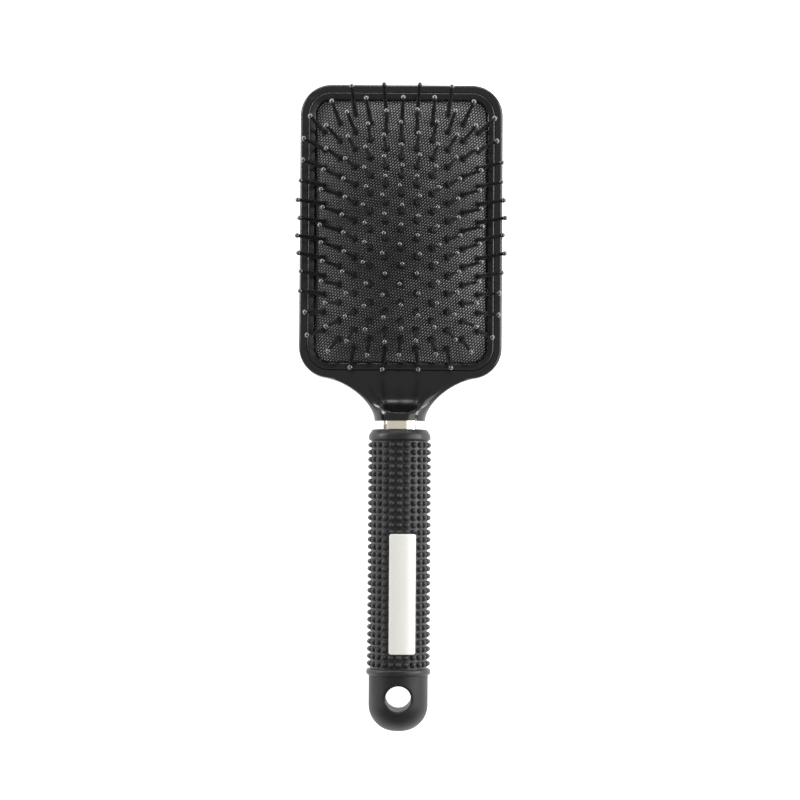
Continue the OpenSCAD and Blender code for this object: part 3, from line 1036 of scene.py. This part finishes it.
@dataclass(frozen=True)
class Dome:
    """The cushion's dome and the places, leans and zones of the pins that stand on it."""

    layout: Layout
    face_width: float = 2.8 * MM
    side_power: float = 2.7
    end_power: float = 3.0
    column_pitch: float = 6.0 * MM
    row_pitch: float = 7.0 * MM
    side_margin: float = 3.0 * MM
    end_margin: float = 5.0 * MM
    pin_length: float = 19.6 * MM
    side_lean: float = 9.7 * MM
    end_lean: float = 9.9 * MM
    side_lean_power: float = 1.7
    end_lean_power: float = 3.0
    side_ease: float = 0.6
    end_ease: float = 0.5
    scatter: float = 0.6 * MM
    zones: int = 12
    zone_span: float = 0.88

    @property
    def opening(self) -> Outline:
        """The frame's opening."""
        return self.layout.frame_outer.inset(self.face_width)

    def share(self, x: np.ndarray | float, y: np.ndarray | float) -> np.ndarray | float:
        """Gives the dome's height as a share of the crown's."""
        across = 1.0 - (np.abs(x) / self.opening.half_width) ** self.side_power
        along = 1.0 - (np.abs(y) / self.opening.half_length) ** self.end_power
        return np.maximum(across, 0.0) * np.maximum(along, 0.0)

    def height(self, x: np.ndarray | float, y: np.ndarray | float) -> np.ndarray | float:
        """Gives the height of the rubber's surface."""
        return self.layout.pad_edge_z + (self.layout.crown_z - self.layout.pad_edge_z) * self.share(x, y)

    def column_rows(self, column: int, side_columns: int) -> list[float]:
        """Gives the places along one column; every other column is shifted by half a pitch."""
        shifted = (abs(column) - side_columns) % 2 == 0
        first = self.row_pitch / 2.0 if shifted else 0.0
        each_way = int((self.opening.half_length - self.end_margin - first) / self.row_pitch + 0.001)
        if shifted:
            return [(k + 0.5) * self.row_pitch for k in range(-each_way - 1, each_way + 1)]
        return [k * self.row_pitch for k in range(-each_way, each_way + 1)]

    @cached_property
    def pins(self) -> list[tuple[float, float]]:
        """Gives the place of every pin; the outer columns have none in the corners."""
        side_columns = int((self.opening.half_width - self.side_margin) / self.column_pitch + 0.001)
        outer_y = max(self.column_rows(side_columns, side_columns))
        return [
            (column * self.column_pitch, y)
            for column in range(-side_columns, side_columns + 1)
            for y in self.column_rows(column, side_columns)
            if abs(column) < side_columns or abs(y) < outer_y - 1.0 * MM
        ]

    def matrix(self, pin: tuple[float, float]) -> Matrix:
        """Gives the matrix that stands a pin on the dome, leaning as the real ones do.

        Args:
            pin: The pin's place in plan.

        Returns:
            The matrix from the pin's own frame, with +Z along it and 0 at the rubber.
        """
        x, y = pin
        xs, ys = zip(*self.pins)
        outer_x, outer_y = max(xs), max(ys)
        u, v = abs(x) / outer_x, abs(y) / outer_y
        sideways = self.side_lean * u**self.side_lean_power * (1 - self.side_ease * v * v)
        endways = self.end_lean * v**self.end_lean_power * (1 - self.end_ease * u * u)
        lean = Vector((
            math.copysign(sideways, x) + self.scattered(x, y, 137, 71),
            math.copysign(endways, y) + self.scattered(x, y, 53, -97),
        ))
        tilt = math.asin(lean.length / self.pin_length)
        heading = math.atan2(lean.y, lean.x)
        spot = Matrix.Translation((x, y, float(self.height(x, y))))
        return spot @ Matrix.Rotation(heading, 4, "Z") @ Matrix.Rotation(tilt, 4, "Y")

    def scattered(self, x: float, y: float, turn_x: float, turn_y: float) -> float:
        """Gives a pin's own small lean, which repeats for a pin in the same place.

        Args:
            x: The pin's place across the head.
            y: The pin's place along the head.
            turn_x: Degrees of the wave for each millimetre across.
            turn_y: Degrees of the wave for each millimetre along.

        Returns:
            The sideways shift of the pin's tip.
        """
        return self.scatter * math.sin(math.radians(turn_x * (x / MM) + turn_y * (y / MM)))

    def zone(self, pin: tuple[float, float]) -> int:
        """Gives the number of the pin's zone, counted from the crown."""
        return 1 + int(min(0.999, (1.0 - float(self.share(*pin))) / self.zone_span) * self.zones)


@dataclass(frozen=True)
class Cushion:
    """The domed rubber with its clamped flange and a raised boss round each pin."""

    dome: Dome
    membrane: float = 1.6 * MM
    gap: float = 0.15 * MM
    edge_radius: float = 0.45 * MM
    flange_top_z: float = 11.8 * MM
    flange_base_z: float = 10.6 * MM
    flange_width: float = 0.95 * MM
    boss_radius: float = 1.55 * MM
    boss_height: float = 0.4 * MM
    travel: float = 4.0 * MM
    across_steps: int = 110
    along_steps: int = 168

    def border(self) -> Outline:
        """Gives the cushion's visible outline."""
        return self.dome.opening.inset(self.gap)

    def patch(self, outline: Outline) -> np.ndarray:
        """Gives a grid of plan points that fills a rounded rectangle.

        Args:
            outline: The rounded rectangle.

        Returns:
            Rows from the bottom to the top and columns from left to right, in plan.
        """
        def edge(centres: list[tuple[float, float]], angles: list[float], steps: int) -> np.ndarray:
            turns = [np.linspace(angles[0], angles[0] + 45.0, 9), np.linspace(angles[1] - 45.0, angles[1], 9)]
            arcs = [
                np.array(c) + outline.radius * np.column_stack([np.cos(np.radians(t)), np.sin(np.radians(t))])
                for c, t in zip(centres, turns)
            ]
            chain = np.vstack(arcs)
            run = np.concatenate([[0.0], np.cumsum(np.linalg.norm(np.diff(chain, axis=0), axis=1))])
            at = np.linspace(0.0, run[-1], steps + 1)
            return np.column_stack([np.interp(at, run, chain[:, k]) for k in (0, 1)])

        right_low, right_high, left_high, left_low = outline.centres()
        bottom = edge([left_low, right_low], [225.0, 315.0], self.across_steps)
        top = edge([right_high, left_high], [45.0, 135.0], self.across_steps)[::-1]
        right = edge([right_low, right_high], [-45.0, 45.0], self.along_steps)
        left = edge([left_high, left_low], [135.0, 225.0], self.along_steps)[::-1]
        u = np.linspace(0.0, 1.0, self.across_steps + 1)[None, :, None]
        v = np.linspace(0.0, 1.0, self.along_steps + 1)[:, None, None]
        straight = (1 - v) * bottom[None] + v * top[None] + (1 - u) * left[:, None] + u * right[:, None]
        corners = (
            (1 - u) * (1 - v) * bottom[0] + u * (1 - v) * bottom[-1] + (1 - u) * v * top[0] + u * v * top[-1]
        )
        return straight - corners

    def surface(self, plan: np.ndarray) -> np.ndarray:
        """Gives the rubber's upper surface over a grid in plan, turned down at its border."""
        flat = plan.reshape(-1, 2)
        line = self.border().loop()
        depth = distance_to_line(flat, np.vstack([line, line[:1]]))
        z = self.dome.height(flat[:, 0], flat[:, 1])
        turn = np.clip(1.0 - depth / self.edge_radius, 0.0, 1.0)
        z = z - self.edge_radius * (1.0 - np.sqrt(1.0 - turn**2))
        return np.column_stack([flat, z]).reshape(*plan.shape[:2], 3)

    def build(self) -> bpy.types.Object:
        """Builds the cushion and the bosses round its pins."""
        sketch = Sketch("domed_cushion")
        plan = self.patch(self.border())
        top = sketch.add_grid(self.surface(plan))
        low_plan = self.patch(self.border().inset(0.5 * MM))
        low_z = self.dome.height(low_plan[..., 0], low_plan[..., 1]) - self.membrane
        low = sketch.add_grid(np.dstack([low_plan, low_z]))
        loops = [self.rim_numbers(grid) for grid in (top, low)]
        rim = np.vstack(sketch.points)[loops[0]][:, :2]
        outward = rim - np.clip(rim, *self.corner_centres())
        outward /= np.linalg.norm(outward, axis=1)[:, None]
        wide = rim + outward * (self.flange_width + self.gap)
        flange = sketch.add_points(np.array([
            with_height(rim, self.flange_top_z), with_height(wide, self.flange_top_z),
            with_height(wide, self.flange_base_z), with_height(rim, self.flange_base_z),
        ]))
        sketch.add_quads(np.vstack([loops[0], flange, loops[1]]), around=True)
        cushion = dress(sketch.build(), Finish.CUSHION, "root", "cushion_rubber", "cushion_pad")
        bosses = dress(self.bosses(), Finish.BOSS, "root", "cushion_rubber")
        for piece in (cushion, bosses):
            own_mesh(piece)
        return cushion

    def corner_centres(self) -> tuple[np.ndarray, np.ndarray]:
        """Gives the lowest and highest corner centres of the border."""
        centres = np.array(self.border().centres())
        return centres.min(0), centres.max(0)

    @staticmethod
    def rim_numbers(grid: np.ndarray) -> np.ndarray:
        """Gives the point numbers round a grid's border, in order."""
        return np.concatenate([grid[0, :-1], grid[:-1, -1], grid[-1, :0:-1], grid[:0:-1, 0]])

    def bosses(self) -> bpy.types.Object:
        """Builds the raised bosses that hold the pins' roots."""
        sketch = Sketch("pin_bosses")
        profile = filleted(
            [
                (self.boss_radius, -0.5 * MM, 0), (self.boss_radius, 0.03 * MM, 0.2 * MM),
                (1.35 * MM, self.boss_height, 0.25 * MM), (1.0 * MM, self.boss_height - 0.05 * MM, 0.1 * MM),
                (0.95 * MM, -0.5 * MM, 0),
            ],
            closed=False, steps=3,
        )
        shape = turned(profile, 20)
        for pin in self.dome.pins:
            sketch.add_grid(placed(shape, self.dome.matrix(pin)), around=True, along=True)
        return sketch.build(sharp=70.0)


@dataclass(frozen=True)
class Pins:
    """The ball-tipped pins, one piece for each zone that sinks together."""

    dome: Dome
    root_radius: float = 1.0 * MM
    tip_radius: float = 0.64 * MM
    ball_radius: float = 0.95 * MM
    head_radius: float = 1.6 * MM
    head_top: float = -1.95 * MM
    head_thickness: float = 0.8 * MM
    sides: int = 20
    ball_steps: int = 9

    def profile(self) -> np.ndarray:
        """Gives a pin's outline as (radius, height), from under its head to the top of its ball."""
        base = self.head_top - self.head_thickness
        ball_z = self.dome.pin_length - self.ball_radius
        meets = math.asin(self.tip_radius / self.ball_radius)
        shaft = filleted(
            [
                (0.3 * MM, base, 0), (self.head_radius, base, 0.15 * MM),
                (self.head_radius, self.head_top, 0.15 * MM),
                (self.root_radius, self.head_top, 0.1 * MM), (self.root_radius, 1.2 * MM, 4.0 * MM),
                (self.tip_radius, ball_z - 3.2 * MM, 8.0 * MM),
                (self.tip_radius, ball_z - self.ball_radius * math.cos(meets) - 0.02 * MM, 0),
            ],
            closed=False, steps=4,
        )
        angles = np.linspace(math.pi - meets, 0.06, self.ball_steps)
        ball = self.ball_radius * np.column_stack([np.sin(angles), np.cos(angles)]) + [0.0, ball_z]
        return np.vstack([shaft, ball])

    def build(self) -> list[bpy.types.Object]:
        """Builds the pins of every zone."""
        shape = turned(self.profile(), self.sides)
        pieces = []
        for zone in range(1, self.dome.zones + 1):
            sketch = Sketch(f"ball_pins_{zone}")
            for pin in self.dome.pins:
                if self.dome.zone(pin) == zone:
                    numbers = sketch.add_grid(placed(shape, self.dome.matrix(pin)), around=True)
                    sketch.add_cap(numbers[0])
                    sketch.add_cap(numbers[-1], flip=True)
            body, node = f"pins_{zone}", f"pins_zone_{zone}"
            pieces.append(dress(sketch.build(sharp=50.0), Finish.PIN, body, "pin_nylon", node))
        return pieces


# ---------------------------------------------------------------- handle


@dataclass(frozen=True)
class Ferrule:
    """The bright ring between the neck and the grip."""

    layout: Layout
    radius: float = 8.7 * MM
    bore: float = 7.9 * MM
    tuck: float = 1.45 * MM
    bulge: float = 0.12 * MM

    def build(self) -> bpy.types.Object:
        """Builds the ferrule, slightly barrelled, with rolled ends."""
        length = self.layout.neck_end_y - self.layout.grip_top_y + 2 * self.tuck
        outer = filleted(
            [(self.bore, 0, 0.15 * MM), (self.radius - self.bulge, 0, 0.3 * MM),
             (self.radius, length / 2, 12.0 * MM),
             (self.radius - self.bulge, length, 0.3 * MM), (self.bore, length, 0.15 * MM)],
            closed=True, steps=6,
        )
        sketch = Sketch("ferrule_ring")
        top = self.layout.handle_matrix(self.layout.neck_end_y + self.tuck)
        sketch.add_grid(placed(turned(outer, 128), top), around=True, along=True)
        return dress(sketch.build(), Finish.CHROME, "root", "chrome", "ferrule")


@dataclass(frozen=True)
class Grip:
    """The rubber grip: smooth collar, rows of rounded studs, and the bead at its end."""

    layout: Layout
    root_radius: float = 10.9 * MM
    stud_height: float = 1.28 * MM
    rows: int = 31
    row_pitch: float = 2.8 * MM
    columns: int = 24
    collar_length: float = 4.1 * MM
    collar_top_radius: float = 10.5 * MM
    collar_radius: float = 11.95 * MM
    groove: float = 0.5 * MM
    bead_radius: float = 12.4 * MM
    bead_thickness: float = 2.5 * MM
    bore: float = 8.65 * MM
    stud_marks: tuple[float, ...] = (-0.5, -0.38, -0.35, -0.3, -0.22, -0.12, 0.0, 0.12, 0.22, 0.3, 0.35, 0.38)
    stud_reach: float = 0.38
    squareness: float = 2.6

    def collar(self) -> np.ndarray:
        """Gives the collar's outline as (radius, distance down from the grip's top)."""
        return filleted(
            [
                (self.bore + 0.3 * MM, 0.0, 0), (self.collar_top_radius, 0.0, 0.5 * MM),
                (self.collar_radius, 2.1 * MM, 2.6 * MM),
                (self.collar_radius, self.collar_length - 0.1 * MM, 0.55 * MM),
                (self.root_radius + 0.35 * MM, self.collar_length + 0.1 * MM, 0.25 * MM),
                (self.root_radius, self.collar_length + self.groove - 0.05 * MM, 0),
            ],
            closed=False, steps=6,
        )

    def bead(self, start: float) -> np.ndarray:
        """Gives the bead's outline from the last stud down to the sleeve's end, and its bore."""
        end = start + self.groove + self.bead_thickness
        return filleted(
            [
                (self.root_radius, start + 0.05 * MM, 0), (self.root_radius, start + self.groove, 0.15 * MM),
                (self.bead_radius, start + self.groove, 1.0 * MM), (self.bead_radius, end, 1.0 * MM),
                (self.bore, end, 0),
            ],
            closed=False, steps=7,
        )

    def knob(self, down: np.ndarray, around: np.ndarray) -> np.ndarray:
        """Gives a domed stud's height share at an offset from its middle.

        Args:
            down: Offsets along the handle, in pitches.
            around: Offsets round the handle, in pitches.

        Returns:
            A share from 0 at the stud's foot to 1 at its top.
        """
        power = self.squareness
        spread = np.abs(down / self.stud_reach) ** power + np.abs(around / self.stud_reach) ** power
        return np.sqrt(np.maximum(1.0 - spread ** (2.0 / power), 0.0))

    def build(self, plate: "NamePlate") -> bpy.types.Object:
        """Builds the grip round the plate's bare patch.

        Args:
            plate: The plate, which the studs leave room for.

        Returns:
            The grip's piece.
        """
        marks = np.array(self.stud_marks)
        start = self.collar_length + self.groove
        row_phase = np.concatenate([k + 0.5 + marks for k in range(self.rows)])
        column_phase = np.concatenate([k + marks for k in range(self.columns)])
        down = start + row_phase * self.row_pitch
        angles = column_phase * 2.0 * math.pi / self.columns
        share = self.knob((row_phase % 1.0 - 0.5)[:, None], ((column_phase + 0.5) % 1.0 - 0.5)[None, :])
        share = share * plate.clear_of(self.layout.grip_top_y - down[:, None], angles[None, :])
        radius = self.root_radius + self.stud_height * share
        collar, bead = self.collar(), self.bead(start + self.rows * self.row_pitch)
        every = len(angles)
        radius = np.vstack([np.repeat(collar[:, :1], every, 1), radius, np.repeat(bead[:, :1], every, 1)])
        drop = np.concatenate([collar[:, 1], down, bead[:, 1]])[:, None] * np.ones((1, every))
        points = np.stack([radius * np.cos(angles), radius * np.sin(angles), drop], axis=-1)
        sketch = Sketch("studded_grip")
        top = self.layout.handle_matrix(self.layout.grip_top_y)
        sketch.add_grid(placed(points, top), around=True, along=True)
        return dress(sketch.build(sharp=70.0), Finish.GRIP, "root", "grip_rubber", "grip_sleeve")


@dataclass(frozen=True)
class NamePlate:
    """The blank plate, curved to the grip and turned a little to one side."""

    layout: Layout
    width: float = 10.7 * MM
    length: float = 45.9 * MM
    corner: float = 0.9 * MM
    radius: float = 12.1 * MM
    base_radius: float = 10.6 * MM
    turn: float = 7.0
    margin: float = 0.35 * MM
    edge: float = 0.25 * MM

    @property
    def middle_y(self) -> float:
        """The plate's middle along the handle."""
        low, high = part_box("name_plate")
        return (low[1] + high[1]) / 2.0

    @property
    def middle_angle(self) -> float:
        """The plate's middle round the grip, from the handle's own +X."""
        return math.radians(90.0 - self.turn)

    def clear_of(self, y: np.ndarray, angle: np.ndarray) -> np.ndarray:
        """Gives 0 where the plate lies and 1 where the studs are whole.

        Args:
            y: Places along the handle.
            angle: Angles round the grip.

        Returns:
            A share for each place, 0 or 1 but for a short slope.
        """
        facing = np.angle(np.exp(1j * (angle - self.middle_angle)))
        across = np.abs(facing) * self.radius - self.width / 2 - self.margin
        along = np.abs(y - self.middle_y) - self.length / 2 - self.margin
        outside = np.maximum(across, along)
        return np.clip(outside / (0.25 * MM), 0.0, 1.0)

    def build(self) -> bpy.types.Object:
        """Builds the plate with a softly rounded edge."""
        outline = Outline(
            self.width / 2, self.length / 2, self.corner, arc_steps=6, side_steps=46, end_steps=16
        )
        sketch = Sketch("blank_plate")
        rows = [(0.0, self.base_radius), (0.0, self.radius - self.edge)]
        for step in range(1, 6):
            a = math.radians(18.0 * step)
            rows.append((self.edge * (1 - math.cos(a)), self.radius - self.edge * (1 - math.sin(a))))
        rows += [(self.edge + 0.4 * MM * k, self.radius) for k in range(1, 12)]
        loops = np.array([self.wrapped(outline.inset(inset).loop(), radius) for inset, radius in rows])
        numbers = sketch.add_grid(loops, around=True)
        sketch.add_cap(numbers[0])
        sketch.add_cap(numbers[-1], flip=True)
        return dress(sketch.build(), Finish.PLATE, "root", "plate_silver", "name_plate")

    def wrapped(self, flat: np.ndarray, radius: float) -> np.ndarray:
        """Wraps flat points round the grip's axis at a radius."""
        angle = self.middle_angle - flat[:, 0] / self.radius
        return np.column_stack([
            radius * np.cos(angle), self.middle_y + flat[:, 1], self.layout.axis_z + radius * np.sin(angle),
        ])


@dataclass(frozen=True)
class EndCap:
    """The satin cap that closes the grip, with its rounded end and hanging hole."""

    layout: Layout
    radius: float = 11.4 * MM
    end_radius: float = 10.2 * MM
    hole_radius: float = 4.9 * MM
    hole_from_end: float = 13.0 * MM
    lip: float = 0.75 * MM
    spigot_radius: float = 6.45 * MM
    plug_bore: float = 4.6 * MM
    plug_length: float = 22.0 * MM
    overlap: float = 0.1 * MM
    rows: int = 26
    wall_rows: int = 10

    @property
    def top_y(self) -> float:
        """The cap's shoulder against the grip."""
        return self.layout.grip_end_y - 0.05 * MM

    @property
    def hole_y(self) -> float:
        """The hanging hole's middle."""
        return self.layout.cap_end_y + self.hole_from_end

    def radius_at(self, y: np.ndarray) -> np.ndarray:
        """Gives the cap's radius at a place along the handle."""
        past = np.maximum(self.layout.cap_end_y + self.end_radius - y, 0.0)
        round_part = np.sqrt(np.maximum(self.end_radius**2 - past**2, 0.0))
        return self.radius - self.end_radius + round_part

    def silhouette(self) -> np.ndarray:
        """Gives the cap's outline in plan, as a loop."""
        end, straight = self.layout.cap_end_y, self.layout.cap_end_y + self.end_radius
        flat = self.radius - self.end_radius
        angles = np.radians(np.linspace(-90.0, 0.0, 25))
        arc = self.end_radius * np.column_stack([np.cos(angles), np.sin(angles)]) + [flat, straight]
        right = np.vstack([arc, between(arc[-1], (self.radius, self.top_y), 22)[1:]])
        left = right[::-1] * [-1.0, 1.0]
        top = between(right[-1], left[0], 40)[1:-1]
        bottom = between((-flat, end), (flat, end), 8)[1:-1]
        return np.vstack([right, top, left, bottom])

    def surface_z(self, plan: np.ndarray) -> np.ndarray:
        """Gives the height of the cap's front surface over the axis."""
        return np.sqrt(np.maximum(self.radius_at(plan[..., 1]) ** 2 - plan[..., 0] ** 2, 0.0))

    def front_rows(self) -> np.ndarray:
        """Gives the front's rows from the silhouette to the hole's wall, with z over the axis."""
        outer = self.silhouette()
        centre = np.array([0.0, self.hole_y])
        spokes = outer - centre
        spokes /= np.linalg.norm(spokes, axis=1)[:, None]
        rim = centre + spokes * (self.hole_radius + self.lip)
        share = (np.arange(self.rows + 1) / self.rows)[:, None, None] ** 2
        plan = outer + share * (rim - outer)
        rows = [np.dstack([plan, self.surface_z(plan)])]
        for step in range(1, 8):
            a = math.radians(90.0 * step / 7)
            ring = centre + spokes * (self.hole_radius + self.lip * (1.0 - math.sin(a)))
            z = self.surface_z(rim) - self.lip * (1.0 - math.cos(a))
            rows.append(np.column_stack([ring, z])[None])
        return np.vstack(rows)

    def build(self) -> bpy.types.Object:
        """Builds the cap and the spigot that plugs it into the core."""
        front = self.front_rows()
        back = front * [1.0, 1.0, -1.0]
        wall = np.linspace(front[-1], back[-1], self.wall_rows + 1)[1:-1]
        points = np.vstack([front, wall, back[::-1]]) + [0.0, 0.0, self.layout.axis_z]
        sketch = Sketch("hanging_cap")
        sketch.add_grid(points, around=True, along=True)
        cap = dress(sketch.build(sharp=60.0, weld=0.002 * MM), Finish.CAP, "root", "cap_plastic", "end_cap")
        self.build_plug()
        return cap

    def build_plug(self) -> bpy.types.Object:
        """Builds the cap's hollow spigot, which plugs into the core."""
        tube = filleted(
            [
                (self.plug_bore, 0, 0), (self.spigot_radius, 0, 0.4 * MM),
                (self.spigot_radius, self.plug_length + self.overlap, 0),
                (self.plug_bore, self.plug_length + self.overlap, 0),
            ],
            closed=True,
        )
        top = self.layout.handle_matrix(self.layout.grip_end_y + self.plug_length)
        sketch = Sketch("cap_spigot")
        sketch.add_grid(placed(turned(tube, 64), top), around=True, along=True)
        return dress(sketch.build(), Finish.CAP, "root", "cap_plastic")


def dress_core() -> None:
    """Gives the hidden core, which keeps its exact shape, the plain core finish."""
    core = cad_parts["handle_core"]
    core.data.materials.clear()
    core.data.materials.append(Finish.CORE.material())
    LOG.info("handle_core: exact part, %s", Finish.CORE.value.name)


# ---------------------------------------------------------------- stage, light and camera


@dataclass(frozen=True)
class SoftBox:
    """One soft area light."""

    name: str
    place: tuple[float, float, float]
    target: tuple[float, float, float]
    size: tuple[float, float]
    power: float
    colour: tuple[float, float, float] = (1.0, 1.0, 1.0)

    def build(self) -> None:
        """Adds the light, facing its target."""
        data = bpy.data.lights.new(self.name, "AREA")
        data.shape = "RECTANGLE"
        data.size, data.size_y = self.size
        data.energy = self.power
        data.color = self.colour
        lamp = bpy.data.objects.new(self.name, data)
        lamp.location = self.place
        aim = Vector(self.target) - Vector(self.place)
        lamp.rotation_euler = aim.to_track_quat("-Z", "Y").to_euler()
        bpy.context.scene.collection.objects.link(lamp)


@dataclass(frozen=True)
class Studio:
    """The plain pale stage, its soft lights and the camera over the brush."""

    layout: Layout
    camera_place: tuple[float, float, float] = (0.0, -98.45 * MM, 960.7 * MM)
    tilt: float = 2.0
    roll: float = 0.36
    lens: float = 110.4
    sensor: float = 36.0
    zenith: tuple[float, float, float] = (0.58, 0.575, 0.55)
    horizon: tuple[float, float, float] = (0.55, 0.55, 0.55)
    lights: tuple[SoftBox, ...] = (
        SoftBox("top_strip", (0.0, 0.8, 0.24), (0, 0.0, 0), (1.1, 0.1), 5.0),
        SoftBox("left_strip", (-0.8, 0.25, 0.24), (0, 0.05, 0), (0.8, 0.1), 6.0),
        SoftBox("right_strip", (0.8, 0.15, 0.2), (0, 0.05, 0), (0.7, 0.1), 4.5),
        SoftBox("right_fill", (0.65, 0.0, 0.5), (0, -0.05, 0), (0.8, 0.45), 3.6),
    )

    def floor(self) -> None:
        """Adds the floor under the brush."""
        sketch = Sketch("paper_floor")
        half = 2.5
        sketch.add_grid(np.array([[(x, y, -0.0002) for x in (-half, half)] for y in (-half, half)]))
        paper = sketch.build()
        paper.data.materials.append(Finish.FLOOR.material())

    def flag(self) -> None:
        """Stands a black card left of the handle, hidden from the camera, for the ferrule to mirror."""
        left, low, high = -0.3, -0.02, 0.12
        ends = (-0.15, -0.03)
        sketch = Sketch("dark_flag")
        sketch.add_grid(np.array([[(left, y, z) for y in ends] for z in (low, high)]))
        card = sketch.build()
        card.data.materials.append(Finish.FLAG.material())
        card.visible_camera = False
        card.visible_shadow = False

    def world(self) -> None:
        """Adds the even white surroundings of a light tent."""
        world = bpy.data.worlds.new("light_tent")
        world.use_nodes = True
        tree = world.node_tree
        place = tree.nodes.new("ShaderNodeTexCoord")
        split = tree.nodes.new("ShaderNodeSeparateXYZ")
        tent = tree.nodes.new("ShaderNodeMix")
        tent.data_type = "RGBA"
        tent.inputs[6].default_value = (*self.horizon, 1.0)
        tent.inputs[7].default_value = (*self.zenith, 1.0)
        tree.links.new(place.outputs["Generated"], split.inputs[0])
        tree.links.new(split.outputs["Z"], tent.inputs[0])
        tree.links.new(tent.outputs[2], tree.nodes["Background"].inputs["Color"])
        bpy.context.scene.world = world

    def camera(self) -> None:
        """Adds the camera over the grip, looking down at the middle of the brush."""
        data = bpy.data.cameras.new("camera")
        data.lens = self.lens
        data.sensor_width = self.sensor
        data.clip_start, data.clip_end = 0.01, 20.0
        camera = bpy.data.objects.new("camera", data)
        lean = Matrix.Rotation(math.radians(self.tilt), 4, "X")
        spin = Matrix.Rotation(math.radians(self.roll), 4, "Z")
        camera.matrix_world = Matrix.Translation(self.camera_place) @ lean @ spin
        bpy.context.scene.collection.objects.link(camera)
        bpy.context.scene.camera = camera

    def build(self) -> None:
        """Sets the stage."""
        self.floor()
        self.flag()
        self.world()
        self.camera()
        for light in self.lights:
            light.build()
        bpy.context.scene.view_settings.view_transform = "Standard"


def main() -> None:
    """Builds every sub-assembly in order, then the studio round them."""
    logging.basicConfig(level=logging.INFO, format="%(name)s: %(message)s")
    layout = Layout.from_model()
    dome = Dome(layout)
    plate = NamePlate(layout)
    Head(layout).build()
    RetainingFrame(layout).build()
    Cushion(dome).build()
    Pins(dome).build()
    Ferrule(layout).build()
    Grip(layout).build(plate)
    plate.build()
    EndCap(layout).build()
    dress_core()
    Studio(layout).build()


if __name__ == "__main__":
    main()
